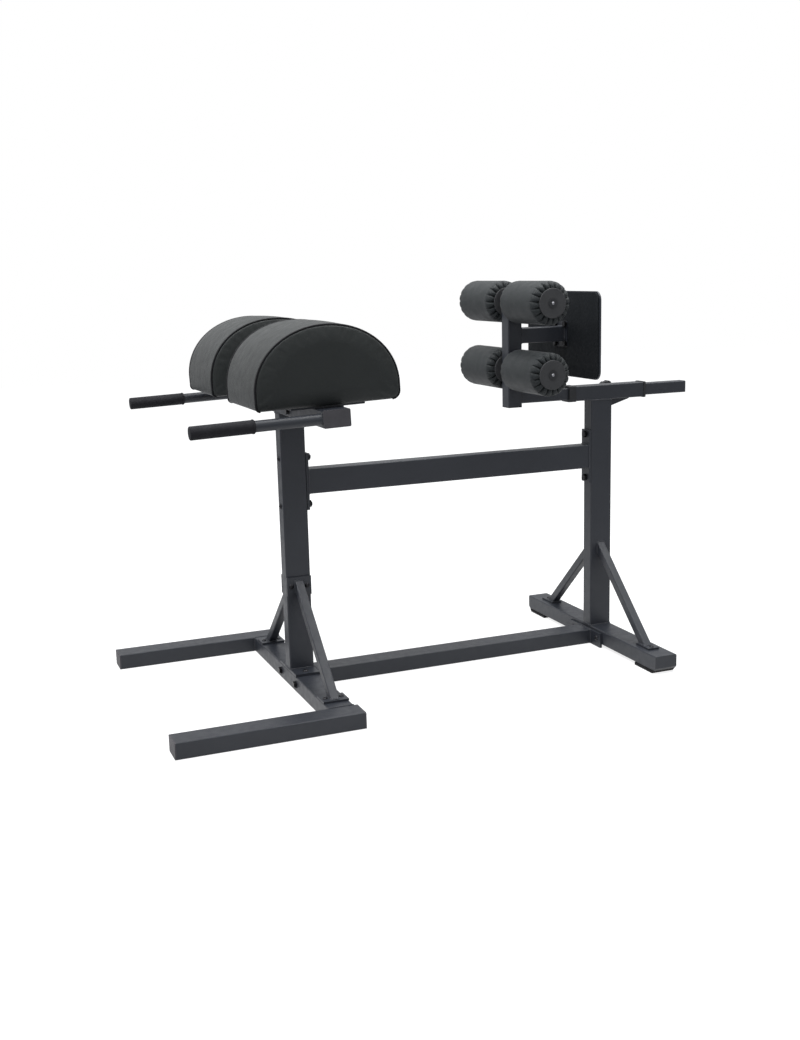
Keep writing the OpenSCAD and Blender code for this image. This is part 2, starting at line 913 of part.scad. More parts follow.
module foam_roller(left, z) {
    profile = roller_profile();
    rings = [for (k = [0 : fold_steps - 1])
        let (a = -k * 360 / fold_steps, dip = k % 3 == 0 ? 1 : 0)
        [for (p = profile) [(p[0] - dip * p[2]) * cos(a), (p[0] - dip * p[2]) * sin(a), p[1]]]];
    color(vinyl)
        on_side(left)
            translate([post_x, 0, z])
                along_y() translate([0, 0, roller_start]) ring_skin(rings);
}

module upper_left_roller() foam_roller(true, upper_axle_z);
module upper_right_roller() foam_roller(false, upper_axle_z);
module lower_left_roller() foam_roller(true, lower_axle_z);
module lower_right_roller() foam_roller(false, lower_axle_z);

// Handles

module cross_bolts_at() {
    for (s = [-1, 1], t = [-1, 1])
        translate([front_x - tube_w / 2, s * pad_y + t * (bracket_w / 2 - 13),
                   front_post_top + tube_h / 2 - 5])
            rotate([0, -90, 0]) children();
}

module handle_cross_tube() {
    color(coat)
        tipped()
            difference() {
                translate([front_x, -cross_w / 2 + cap_t, front_post_top + tube_h / 2])
                    along_y() tube(tube_w, tube_h, cross_w - 2 * cap_t);
                cross_bolts_at() bolt_hole(m12, tube_w + over);
            }
}

// Front face of the cross tube, from which the handles reach forward
handle_root = front_x - tube_w / 2;
handle_z = front_post_top + tube_h / 2;

module handle(left) {
    color(coat)
        tipped() on_side(left)
            translate([handle_root, handle_y, handle_z])
                rotate([0, -90, 0])
                    difference() {
                        cylinder(h = handle_len - grip_wall, d = handle_d);
                        translate([0, 0, -over])
                            cylinder(h = handle_len + over, d = handle_d - 2 * tube_wall);
                    }
}

module grip(left) {
    out = handle_d + 2 * grip_wall;
    soft = 3;
    color(black)
        tipped() on_side(left)
            translate([handle_root - handle_len + grip_len, handle_y, handle_z])
                rotate([0, -90, 0])
                    difference() {
                        rotate_extrude() {
                            square([out / 2 - soft, grip_len]);
                            translate([0, soft]) square([out / 2, grip_len - 2 * soft]);
                            for (y = [soft, grip_len - soft])
                                translate([out / 2 - soft, y]) circle(soft);
                            translate([0, soft]) square([out / 2 + 1.2, 4]);
                        }
                        translate([0, 0, -over])
                            cylinder(h = grip_len - grip_wall + over, d = handle_d);
                    }
}

module handle_left() handle(true);
module handle_right() handle(false);
module grip_left() grip(true);
module grip_right() grip(false);

// Pads

// Seats of the screws that hold a pad's board to its bracket, from below
module board_screws_at(left) {
    on_side(left)
        for (x = [-1, 1], y = [-1, 1])
            translate([front_x + x * (bracket_len / 2 - 20), pad_y + y * (bracket_w / 2 - 30),
                       cross_top])
                children();
}

// Top plate on the cross tube with a flange down the tube's rear face
module pad_bracket(left) {
    drop = tube_h - 4;
    color(coat)
        tipped()
            difference() {
                on_side(left) {
                    translate([front_x, pad_y, cross_top + bracket_t / 2])
                        cube([bracket_len, bracket_w, bracket_t], center = true);
                    translate([front_x + tube_w / 2 + bracket_t / 2, pad_y, cross_top - drop / 2])
                        cube([bracket_t, bracket_w, drop], center = true);
                }
                cross_bolts_at() bolt_hole(m12, tube_w + bracket_t + over);
                board_screws_at(left) bolt_hole(m8, bracket_t + over);
            }
}

module pad_bracket_left() pad_bracket(true);
module pad_bracket_right() pad_bracket(false);

module pad_board(left) {
    color(plywood)
        tipped()
            difference() {
                on_side(left)
                    translate([front_x, pad_y, pad_z])
                        linear_extrude(board_t)
                            rounded(pad_len - 2 * board_in, pad_w - 2 * board_in, 8);
                board_screws_at(left)
                    cylinder(h = 2 * (bracket_t + board_t), d = m8, center = true);
            }
}

module pad_board_left() pad_board(true);
module pad_board_right() pad_board(false);

module pad_bolts() {
    color(bolt_black) tipped() {
        cross_bolts_at() through_bolt(m12, tube_w + bracket_t);
        for (left = [true, false])
            board_screws_at(left)
                mirror([0, 0, 1]) {
                    dome_head(m8);
                    translate([0, 0, -bracket_t - board_t]) cylinder(h = bracket_t + board_t, d = m8);
                }
    }
}

// Outline of a pad's side: rounded lower corners, upright sides, and above the springing line
// a near-elliptic arch. Inset draws it in all round, and swell raises the crown.
arch_points = 31;
corner_steps = 3;

function pad_corner(half, r, base) =
    [for (k = [0 : corner_steps])
        let (a = k * 90 / corner_steps)
        [half - r * (1 - sin(a)), base + r * (1 - cos(a))]];

function pad_outline(inset, swell) =
    let (half = pad_len / 2 - inset,
         rise = pad_h - arch_z - inset + swell,
         heel = pad_corner(half, heel_r, inset / 2),
         toe = pad_corner(half, toe_r, inset / 2))
    concat(
        heel,
        [for (k = [0 : arch_points - 1])
            let (a = k * 180 / (arch_points - 1))
            [half * pow(abs(cos(a)), 0.94) * sign(cos(a)), arch_z + rise * pow(sin(a), 0.97)]],
        [for (k = [corner_steps : -1 : 0]) [-toe[k][0], toe[k][1]]]
    );

// Stations across a pad: [distance from the middle, inset, swell]
function pad_stations() =
    let (half = pad_w / 2)
    [
        [-half + 1.5, draw_in + 14, 0],
        [-half, draw_in + 4, 0],
        [-half + 1, draw_in * 0.6, 0],
        [-half + 5, 0.8, 0],
        [-half + 10, 2.2, 0],
        [-half + 16, 0.6, 0],
        [-half * 0.6, 0, crown * 0.7],
        [0, 0, crown],
        [half * 0.6, 0, crown * 0.7],
        [half - 16, 0.6, 0],
        [half - 10, 2.2, 0],
        [half - 5, 0.8, 0],
        [half - 1, draw_in * 0.6, 0],
        [half, draw_in + 4, 0],
        [half - 1.5, draw_in + 14, 0]
    ];

// A skin through rings of points, closed by a flat face at either end
module capped_skin(rings) {
    n = len(rings[0]);
    m = len(rings);
    sides = [for (i = [0 : m - 2], j = [0 : n - 1])
        let (a = i * n + j, b = i * n + (j + 1) % n,
             c = (i + 1) * n + (j + 1) % n, d = (i + 1) * n + j)
        [[a, d, c], [a, c, b]]];
    first = [for (j = [0 : n - 1]) j];
    last = [for (j = [n - 1 : -1 : 0]) (m - 1) * n + j];
    polyhedron(flat(rings), concat(flat(sides), [first, last]), convexity = 6);
}

module pad(left) {
    rings = [for (s = pad_stations())
        [for (p = pad_outline(s[1], s[2])) [p[0], s[0], p[1]]]];
    fit = board_in - seat_gap;
    color(vinyl)
        tipped() on_side(left)
            translate([front_x, pad_y, pad_z])
                difference() {
                    capped_skin(rings);
                    translate([0, 0, (board_t + seat_gap - over) / 2])
                        cube([pad_len - 2 * fit, pad_w - 2 * fit, board_t + seat_gap + over],
                             center = true);
                }
}

module pad_left() pad(true);
module pad_right() pad(false);

// Fasteners of the frame

module base_bolts() {
    color(bolt_black) {
        base_bolts_at() through_bolt(m12, plate_t + tube_wall, true);
        lower_front_bolts_at() through_bolt(m12, tube_w + plate_t);
        lower_rear_bolts_at() through_bolt(m12, plate_t + tube_wall, true);
    }
}

module beam_bolts() {
    color(bolt_black) {
        upper_front_bolts_at() through_bolt(m12, tube_w + plate_t, true);
        upper_rear_bolts_at() through_bolt(m12, plate_t + tube_wall);
    }
}

module brace_bolts() {
    color(bolt_black) {
        brace_top_bolts_at(front_x) through_bolt(m10, tube_h + 2 * brace_plate_t, true);
        front_foot_bolts_at(front_x) through_bolt(m10, brace_plate_t + tube_wall, true);
        rear_foot_bolts_at(rear_x) through_bolt(m10, brace_plate_t + tube_wall, true);
    }
}

front_leg_left();
front_leg_right();
front_cross_member();
tube_end_caps();
front_upright();
front_brace_left();
front_brace_right();
lower_beam();
upper_beam();
rear_foot_tube();
rear_foot_caps();
rear_foot_pad_left();
rear_foot_pad_right();
rear_upright();
rear_brace_left();
rear_brace_right();
slide_sleeve();
front_slide_bush();
rear_slide_bush();
handle_cross_tube();
handle_left();
handle_right();
grip_left();
grip_right();
pad_bracket_left();
pad_bracket_right();
pad_board_left();
pad_board_right();
pad_left();
pad_right();
base_bolts();
beam_bolts();
brace_bolts();
pad_bolts();
slide_tube();
slide_end_cap();
roller_post();
roller_post_caps();
foot_plate_arm();
foot_plate();
foot_plate_tread();
foot_plate_bolts();
upper_axle();
lower_axle();
axle_spacers();
axle_washers();
axle_end_bolts();
upper_left_roller();
upper_right_roller();
lower_left_roller();
lower_right_roller();
upper_left_roller_core();
upper_right_roller_core();
lower_left_roller_core();
lower_right_roller_core();
clamp_knob();
clamp_screw();
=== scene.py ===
import json
import math
import random

import bpy
from mathutils import Matrix, Vector
from mathutils.kdtree import KDTree


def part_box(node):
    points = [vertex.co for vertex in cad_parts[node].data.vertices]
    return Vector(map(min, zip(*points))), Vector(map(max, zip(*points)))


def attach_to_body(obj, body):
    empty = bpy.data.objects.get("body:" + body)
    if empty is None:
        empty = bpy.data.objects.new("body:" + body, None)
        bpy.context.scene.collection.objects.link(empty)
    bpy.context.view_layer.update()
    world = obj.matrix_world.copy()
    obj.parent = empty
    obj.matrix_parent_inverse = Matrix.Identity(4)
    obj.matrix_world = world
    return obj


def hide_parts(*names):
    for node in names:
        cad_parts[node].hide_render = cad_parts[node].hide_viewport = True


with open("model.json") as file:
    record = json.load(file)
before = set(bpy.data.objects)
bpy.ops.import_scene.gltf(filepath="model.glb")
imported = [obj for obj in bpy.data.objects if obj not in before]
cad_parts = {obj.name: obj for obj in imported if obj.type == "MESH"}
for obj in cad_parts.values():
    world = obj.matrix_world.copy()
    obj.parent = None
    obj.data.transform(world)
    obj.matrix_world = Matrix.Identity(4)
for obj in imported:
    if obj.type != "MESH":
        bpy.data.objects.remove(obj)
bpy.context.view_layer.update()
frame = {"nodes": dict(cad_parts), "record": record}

nodes = frame["nodes"]
scene = bpy.context.scene
scene.view_settings.view_transform = "Standard"
MM = 0.001

# Sizes are in metres, angles in radians and colours in linear RGB, unless a comment says otherwise

# Sections of the frame's tubes and the plates that they are welded to
TUBE_LONG = 80 * MM
TUBE_SHORT = 50 * MM
TUBE_ROUND = 4 * MM
PLATE = 8 * MM
BRACE_SIDE = 28 * MM
BRACE_ROUND = 3 * MM
BRACE_PLATE = 6 * MM
# From the edge of a brace's end plate to the middle of the brace's weld on it
FRONT_PLATE_REACH = 30 * MM
REAR_PLATE_REACH = 52 * MM
SLIDE_SIDE = 40 * MM
HANDLE_D = 32 * MM
BOSS_D = 24 * MM

# The cross tube and what it carries tip forward about the middle of the front upright's top
CROSS_HEIGHT = 880 * MM
TOP_TILT = math.radians(2)


# Camera, floor and light

# The photograph's viewpoint, solved from the straight tubes of the frame
CAMERA_PLACE = (-1.5821, -3.7115, 1.3087)
CAMERA_YAW = 0.37885
CAMERA_PITCH = 0.19922
CAMERA_ROLL = -0.02516
CAMERA_LENS = 43.258
SENSOR_HEIGHT = 36

# The dome is brighter above and to the left, between two cosines of the angle from there
TOWARD_LIGHT = (-0.33, 0.06, 0.94)
DOME_COLOR = (0.96, 0.98, 1.0, 1)
DOME_DIM = 0.08
DOME_BRIGHT = 1.05
DOME_START = -0.35
DOME_END = 0.95
# How much of the white background shows in reflections
WORLD_MIRRORED = 0.38

# Name, place, target, side and watts of each square lamp
LAMPS = (
    ("key_light", (-2.1, 0.2, 4.4), (-0.2, 0, 0.7), 2.4, 110),
    ("top_light", (1.2, -0.2, 4.2), (0.2, 0, 0.6), 3.0, 125),
    ("front_fill", (-0.8, -4.4, 2.2), (0.2, 0, 0.6), 2.0, 3),
)

# The floor as the camera sees it, which takes a soft shadow, and as plain light meets it
FLOOR_HALF = 12.0
FLOOR_SEEN = (0.34, 0.34, 0.34, 1)
FLOOR_GLOW = 0.80
FLOOR_PLAIN = (0.36, 0.36, 0.37, 1)
# Share of the pale floor in reflections, near the object and far from it
FLOOR_MIRRORED_NEAR = 0.75
FLOOR_MIRRORED_FAR = 0.12
FLOOR_NEAR = 0.9
FLOOR_FAR = 2.6


def set_camera():
    """Looks along the solved yaw and pitch, with a small roll."""
    yaw, pitch, roll = CAMERA_YAW, CAMERA_PITCH, CAMERA_ROLL
    ahead = Vector((math.sin(yaw) * math.cos(pitch), math.cos(yaw) * math.cos(pitch), -math.sin(pitch)))
    right = Vector((math.cos(yaw), -math.sin(yaw), 0))
    up = right.cross(ahead)
    tilted_right = right * math.cos(roll) + up * math.sin(roll)
    tilted_up = up * math.cos(roll) - right * math.sin(roll)
    data = bpy.data.cameras.new("photo_camera")
    data.sensor_fit = "VERTICAL"
    data.sensor_height = SENSOR_HEIGHT
    data.lens = CAMERA_LENS
    camera = bpy.data.objects.new("photo_camera", data)
    turn = Matrix((tilted_right, tilted_up, -ahead)).transposed().to_4x4()
    camera.matrix_world = Matrix.Translation(CAMERA_PLACE) @ turn
    scene.collection.objects.link(camera)
    scene.camera = camera


def add_node(tree, kind, **values):
    """A shader node with its inputs set by name, an underscore standing for a space."""
    node = tree.nodes.new(kind)
    for name, value in values.items():
        node.inputs[name.replace("_", " ")].default_value = value
    return node


def math_node(tree, operation, first, second):
    """The result of an operation on two values, each a socket or a number."""
    node = tree.nodes.new("ShaderNodeMath")
    node.operation = operation
    for value, socket in zip((first, second), node.inputs):
        if isinstance(value, float):
            socket.default_value = value
        else:
            tree.links.new(value, socket)
    return node.outputs[0]


def seen_or_mirrored(tree, share):
    """One for what the camera sees, a share of that in reflections, nought for plain light."""
    path = tree.nodes.new("ShaderNodeLightPath").outputs
    mirrored = math_node(tree, "MAXIMUM", path["Is Glossy Ray"], path["Is Transmission Ray"])
    part = math_node(tree, "MULTIPLY", mirrored, share)
    return math_node(tree, "MAXIMUM", path["Is Camera Ray"], part)


def set_world():
    """White where the camera sees it, and a soft dome that is brighter above and to the left."""
    world = bpy.data.worlds.new("studio")
    scene.world = world
    world.use_nodes = True
    tree = world.node_tree
    tree.nodes.clear()
    link = tree.links.new
    coords = tree.nodes.new("ShaderNodeTexCoord")
    dot = tree.nodes.new("ShaderNodeVectorMath")
    dot.operation = "DOT_PRODUCT"
    dot.inputs[1].default_value = TOWARD_LIGHT
    dome = add_node(tree, "ShaderNodeBackground", Color=DOME_COLOR)
    white = add_node(tree, "ShaderNodeBackground", Color=(1, 1, 1, 1), Strength=1.0)
    mix = tree.nodes.new("ShaderNodeMixShader")
    out = tree.nodes.new("ShaderNodeOutputWorld")
    link(coords.outputs["Generated"], dot.inputs[0])
    toward = dot.outputs["Value"]
    strength = remap(tree, toward, DOME_DIM, DOME_BRIGHT, DOME_START, DOME_END, "SMOOTHSTEP")
    link(strength, dome.inputs["Strength"])
    link(seen_or_mirrored(tree, WORLD_MIRRORED), mix.inputs["Fac"])
    link(dome.outputs[0], mix.inputs[1])
    link(white.outputs[0], mix.inputs[2])
    link(mix.outputs[0], out.inputs["Surface"])


def add_area_light(name, place, target, size, watts):
    data = bpy.data.lights.new(name, "AREA")
    data.shape = "SQUARE"
    data.size = size
    data.energy = watts
    light = bpy.data.objects.new(name, data)
    light.location = place
    light.rotation_euler = (Vector(target) - Vector(place)).to_track_quat("-Z", "Y").to_euler()
    scene.collection.objects.link(light)


def floor_material():
    """Pale floor that takes the object's soft shadow and is close to white in the camera."""
    material = bpy.data.materials.new("studio_floor")
    material.use_nodes = True
    tree = material.node_tree
    tree.nodes.clear()
    link = tree.links.new
    seen = add_node(tree, "ShaderNodeBsdfDiffuse", Color=FLOOR_SEEN)
    glow = add_node(tree, "ShaderNodeEmission", Color=(1, 1, 1, 1), Strength=FLOOR_GLOW)
    both = tree.nodes.new("ShaderNodeAddShader")
    plain = add_node(tree, "ShaderNodeBsdfDiffuse", Color=FLOOR_PLAIN)
    mix = tree.nodes.new("ShaderNodeMixShader")
    out = tree.nodes.new("ShaderNodeOutputMaterial")
    link(seen.outputs[0], both.inputs[0])
    link(glow.outputs[0], both.inputs[1])
    away = tree.nodes.new("ShaderNodeVectorMath")
    away.operation = "LENGTH"
    link(mesh_coords(tree), away.inputs[0])
    share = remap(tree, away.outputs["Value"], FLOOR_MIRRORED_NEAR, FLOOR_MIRRORED_FAR,
                  FLOOR_NEAR, FLOOR_FAR)
    link(seen_or_mirrored(tree, share), mix.inputs["Fac"])
    link(plain.outputs[0], mix.inputs[1])
    link(both.outputs[0], mix.inputs[2])
    link(mix.outputs[0], out.inputs["Surface"])
    return material


def add_floor():
    half = FLOOR_HALF
    corners = [(-half, -half, 0), (half, -half, 0), (half, half, 0), (-half, half, 0)]
    mesh_object("studio_floor", corners, [(0, 1, 2, 3)], floor_material(), smooth=False)


# Materials

WOOD_DARK = (0.20, 0.12, 0.06)
WOOD_LIGHT = (0.52, 0.37, 0.21)


def mesh_coords(tree):
    return tree.nodes.new("ShaderNodeTexCoord").outputs["Object"]


def noise(tree, coords, scale, detail=3.0):
    node = add_node(tree, "ShaderNodeTexNoise", Scale=scale, Detail=detail)
    tree.links.new(coords, node.inputs["Vector"])
    return node.outputs["Fac"]


def cells(tree, coords, scale, feature="F1"):
    node = add_node(tree, "ShaderNodeTexVoronoi", Scale=scale)
    node.feature = feature
    tree.links.new(coords, node.inputs["Vector"])
    return node.outputs["Distance"]


def remap(tree, value, low, high, start=0.3, end=0.7, blend="LINEAR"):
    """The value taken from start..end to low..high; the defaults suit a noise's usual span."""
    node = tree.nodes.new("ShaderNodeMapRange")
    node.interpolation_type = blend
    node.inputs["From Min"].default_value = start
    node.inputs["From Max"].default_value = end
    node.inputs["To Min"].default_value = low
    node.inputs["To Max"].default_value = high
    tree.links.new(value, node.inputs["Value"])
    return node.outputs["Result"]


def blend_colors(tree, factor, first, second):
    """A mix of two fixed colours by a factor that varies over the surface."""
    node = tree.nodes.new("ShaderNodeMix")
    node.data_type = "RGBA"
    node.inputs[6].default_value = (*first, 1)
    node.inputs[7].default_value = (*second, 1)
    tree.links.new(factor, node.inputs["Factor"])
    return node.outputs[2]


def bump(tree, height, depth, before=None):
    """A bump of the given depth in metres, laid over another one if that is given."""
    node = add_node(tree, "ShaderNodeBump", Strength=1.0, Distance=depth)
    tree.links.new(height, node.inputs["Height"])
    if before is not None:
        tree.links.new(before, node.inputs["Normal"])
    return node.outputs["Normal"]


def surface(name, metallic=0.0, specular=0.5):
    """A principled material; gives it with its tree, its shader and its mesh coordinates."""
    material = bpy.data.materials.new(name)
    material.use_nodes = True
    tree = material.node_tree
    shader = tree.nodes["Principled BSDF"]
    shader.inputs["Metallic"].default_value = metallic
    shader.inputs["Specular IOR Level"].default_value = specular
    return material, tree, shader, mesh_coords(tree)


def finish_surface(tree, shader, color, roughness, normal):
    tree.links.new(color, shader.inputs["Base Color"])
    tree.links.new(roughness, shader.inputs["Roughness"])
    tree.links.new(normal, shader.inputs["Normal"])


def powder_coat(name, dark, light, rough=0.40):
    """Satin powder coat with fine orange peel and faint handling marks."""
    material, tree, shader, coords = surface(name, specular=0.45)
    broad = noise(tree, coords, 5, 4)
    marks = noise(tree, coords, 42, 6)
    color = blend_colors(tree, remap(tree, broad, 0, 1), dark, light)
    roughness = remap(tree, marks, rough - 0.05, rough + 0.07)
    peel = bump(tree, noise(tree, coords, 420, 2), 0.00016)
    grain = bump(tree, noise(tree, coords, 1900, 2), 0.00005, peel)
    finish_surface(tree, shader, color, roughness, grain)
    return material


def moulded_plastic(name, dark, light, rough):
    """Moulded plastic with a fine eroded texture and a few scuffs."""
    material, tree, shader, coords = surface(name, specular=0.22)
    color = blend_colors(tree, remap(tree, noise(tree, coords, 18, 5), 0, 1), dark, light)
    roughness = remap(tree, noise(tree, coords, 90, 4), rough - 0.06, rough + 0.08)
    texture = bump(tree, cells(tree, coords, 1500), 0.00006)
    finish_surface(tree, shader, color, roughness, texture)
    return material


def rubber(name, dark, light, pattern_scale, pattern_depth):
    """Matt rubber with a small raised pattern and a dusty bloom."""
    material, tree, shader, coords = surface(name, specular=0.15)
    bloom = remap(tree, noise(tree, coords, 11, 6), 0, 1)
    color = blend_colors(tree, bloom, dark, light)
    roughness = remap(tree, noise(tree, coords, 60, 3), 0.62, 0.80)
    pattern = bump(tree, cells(tree, coords, pattern_scale, "SMOOTH_F1"), pattern_depth)
    grain = bump(tree, noise(tree, coords, 2500, 2), 0.00004, pattern)
    finish_surface(tree, shader, color, roughness, grain)
    return material


def vinyl(name, dark, light, rough):
    """Upholstery vinyl: pebbled leather grain with darker creases and a soft sheen."""
    material, tree, shader, coords = surface(name, specular=0.22)
    shader.inputs["Sheen Weight"].default_value = 0.05
    pebbles = cells(tree, coords, 520, "DISTANCE_TO_EDGE")
    crease = remap(tree, pebbles, 0, 1, 0.0, 0.12)
    wide = remap(tree, noise(tree, coords, 7, 4), 0, 1)
    tone = math_node(tree, "MULTIPLY", crease, remap(tree, wide, 0.55, 1.0, 0, 1))
    color = blend_colors(tree, tone, dark, light)
    roughness = remap(tree, noise(tree, coords, 35, 4), rough - 0.05, rough + 0.07)
    soft = bump(tree, noise(tree, coords, 40, 2), 0.00025)
    grain = bump(tree, crease, 0.00012, soft)
    pores = bump(tree, noise(tree, coords, 2600, 2), 0.00004, grain)
    finish_surface(tree, shader, color, roughness, pores)
    return material


def plywood(name):
    """Birch plywood: thin glue lines through the thickness, and grain along the board."""
    material, tree, shader, coords = surface(name, specular=0.3)
    stretch = add_node(tree, "ShaderNodeMapping", Scale=(1, 14, 14))
    tree.links.new(coords, stretch.inputs["Vector"])
    grain = noise(tree, stretch.outputs[0], 22, 6)
    layers = tree.nodes.new("ShaderNodeTexWave")
    layers.bands_direction = "Z"
    layers.inputs["Scale"].default_value = 120
    layers.inputs["Distortion"].default_value = 0.6
    tree.links.new(coords, layers.inputs["Vector"])
    glue_lines = remap(tree, layers.outputs["Fac"], 0.55, 1.0)
    tone = math_node(tree, "MULTIPLY", glue_lines, remap(tree, grain, 0.5, 1.0))
    color = blend_colors(tree, tone, WOOD_DARK, WOOD_LIGHT)
    roughness = remap(tree, grain, 0.6, 0.75)
    finish_surface(tree, shader, color, roughness, bump(tree, grain, 0.0002))
    return material


def steel(name, dark, light, rough):
    """Plated or blackened steel with fine turning marks and small stains."""
    material, tree, shader, coords = surface(name, metallic=0.9)
    stains = remap(tree, noise(tree, coords, 70, 6), 0, 1)
    color = blend_colors(tree, stains, dark, light)
    roughness = remap(tree, noise(tree, coords, 260, 4), rough - 0.08, rough + 0.10)
    rings = tree.nodes.new("ShaderNodeTexWave")
    rings.wave_type = "RINGS"
    rings.inputs["Scale"].default_value = 500
    rings.inputs["Distortion"].default_value = 3
    tree.links.new(coords, rings.inputs["Vector"])
    finish_surface(tree, shader, color, roughness, bump(tree, rings.outputs["Fac"], 0.00003))
    return material


paint = powder_coat("frame_paint", (0.019, 0.022, 0.029), (0.024, 0.027, 0.035))
cap_grey = moulded_plastic("cap_plastic", (0.066, 0.064, 0.070), (0.080, 0.077, 0.085), 0.55)
black_plastic = moulded_plastic("black_plastic", (0.026, 0.027, 0.029), (0.036, 0.037, 0.040), 0.45)
disc_plastic = moulded_plastic("disc_plastic", (0.042, 0.043, 0.045), (0.056, 0.057, 0.060), 0.50)
foot_rubber = rubber("foot_rubber", (0.010, 0.010, 0.011), (0.018, 0.018, 0.019), 300, 0.0003)
tread_rubber = rubber("tread_rubber", (0.008, 0.010, 0.012), (0.014, 0.016, 0.019), 170, 0.0007)
grip_rubber = rubber("grip_rubber", (0.015, 0.015, 0.018), (0.022, 0.022, 0.026), 700, 0.0003)
pad_skin = vinyl("pad_vinyl", (0.0155, 0.018, 0.0178), (0.0255, 0.0288, 0.0286), 0.42)
roller_skin = vinyl("roller_vinyl", (0.013, 0.0157, 0.017), (0.022, 0.0262, 0.0285), 0.48)
# The piping is black vinyl, coloured darker still as painted shade of the groove it lies in
piping_and_groove_shade_skin = vinyl("piping_vinyl_and_groove_shade", (0.003, 0.003, 0.005), (0.006, 0.006, 0.008), 0.5)
board_wood = plywood("board_wood")
black_steel = steel("black_steel", (0.018, 0.018, 0.020), (0.034, 0.034, 0.038), 0.30)
zinc_steel = steel("zinc_steel", (0.20, 0.20, 0.22), (0.32, 0.32, 0.34), 0.38)
# The weld beads wear the frame's powder coat; their lighter colour is a painted highlight along the
# beads, and only their lower roughness is real
bead_highlight_paint = powder_coat("bead_highlight_paint", (0.024, 0.027, 0.035), (0.036, 0.039, 0.048), 0.34)

SLOT_MATERIALS = {
    "frame_paint": paint,
    "cap_plastic": cap_grey,
    "black_plastic": black_plastic,
    "black_rubber": foot_rubber,
    "pad_vinyl": pad_skin,
    "board_wood": board_wood,
    "black_steel": black_steel,
    "zinc_steel": zinc_steel,
}
NODE_MATERIALS = {
    "foot_plate_tread": tread_rubber,
    "grip_left": grip_rubber,
    "grip_right": grip_rubber,
    "upper_left_roller_core": disc_plastic,
    "upper_right_roller_core": disc_plastic,
    "lower_left_roller_core": disc_plastic,
    "lower_right_roller_core": disc_plastic,
}


def dress_nodes():
    """Every CAD node takes the material of its slot, or one of its own."""
    for part in frame["record"]["subparts"]:
        name = part["node"]
        material = NODE_MATERIALS.get(name, SLOT_MATERIALS[part["material_slot"]])
        mesh = nodes[name].data
        mesh.materials.clear()
        mesh.materials.append(material)


# Mesh helpers

def mesh_object(name, points, faces, material, smooth=True):
    mesh = bpy.data.meshes.new(name)
    mesh.from_pydata([tuple(p) for p in points], [], faces)
    mesh.validate()
    mesh.polygons.foreach_set("use_smooth", [smooth] * len(mesh.polygons))
    mesh.materials.append(material)
    made = bpy.data.objects.new(name, mesh)
    scene.collection.objects.link(made)
    return made


def attach(piece, body):
    """The piece moves with the body."""
    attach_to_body(piece, body)


def resample(path, step, closed):
    """Points about step apart along a path of points."""
    loop = path + [path[0]] if closed else path
    lengths = [(b - a).length for a, b in zip(loop, loop[1:])]
    total = sum(lengths)
    count = max(3, round(total / step))
    spots = [total * k / count for k in range(count if closed else count + 1)]
    points = []
    walked = 0.0
    leg = 0
    for spot in spots:
        while leg < len(lengths) - 1 and walked + lengths[leg] < spot:
            walked += lengths[leg]
            leg += 1
        share = (spot - walked) / lengths[leg] if lengths[leg] else 0.0
        points.append(loop[leg].lerp(loop[leg + 1], min(max(share, 0.0), 1.0)))
    return points


def sweep(path, radii, sides, closed):
    """Points and faces of a round tube along a path, with a radius at each point."""
    count = len(path)
    points = []
    faces = []
    normal = None
    for i, here in enumerate(path):
        ahead = path[(i + 1) % count] if closed or i < count - 1 else here
        behind = path[i - 1] if closed or i > 0 else here
        tangent = (ahead - behind).normalized()
        if normal is None:
            normal = tangent.orthogonal()
        normal = (normal - tangent * normal.dot(tangent)).normalized()
        side = tangent.cross(normal)
        for k in range(sides):
            angle = 2 * math.pi * k / sides
            points.append(here + (normal * math.cos(angle) + side * math.sin(angle)) * radii[i])
    for i in range(count if closed else count - 1):
        for k in range(sides):
            j = (i + 1) % count
            m = (k + 1) % sides
            faces.append((i * sides + k, i * sides + m, j * sides + m, j * sides + k))
    if not closed:
        faces.append(tuple(range(sides - 1, -1, -1)))
        faces.append(tuple((count - 1) * sides + k for k in range(sides)))
    return points, faces


def joined(name, shapes, material):
    """One object from several (points, faces) shapes."""
    points = []
    faces = []
    for more_points, more_faces in shapes:
        start = len(points)
        points += more_points
        faces += [tuple(start + i for i in face) for face in more_faces]
    return mesh_object(name, points, faces, material)


# Weld beads

BEAD_RADIUS = 2.4 * MM
BEAD_PITCH = 3.4 * MM
BEAD_SIDES = 8
RIPPLE = 0.16
STEPS_PER_RIPPLE = 5
# How far above the floor a bead's centre ends, in radii
FLOOR_GAP = 1.2
# The sliding tube is welded to the post so finely that the bush can come up to the post
FINE_BEAD = 1.4 * MM
# What a round section's corner radius lacks of half its width
ROUND_SLACK = 0.1 * MM


def rounded_loop(width, height, corner):
    """Points round a rectangle with round corners, in a plane of its own."""
    points = []
    for quarter in range(4):
        start = quarter * math.pi / 2
        x = (width / 2 - corner) * (1 if quarter in (0, 3) else -1)
        y = (height / 2 - corner) * (1 if quarter in (0, 1) else -1)
        for k in range(4):
            angle = start + k * math.pi / 6
            points.append(Vector((x + corner * math.cos(angle), y + corner * math.sin(angle))))
    return points


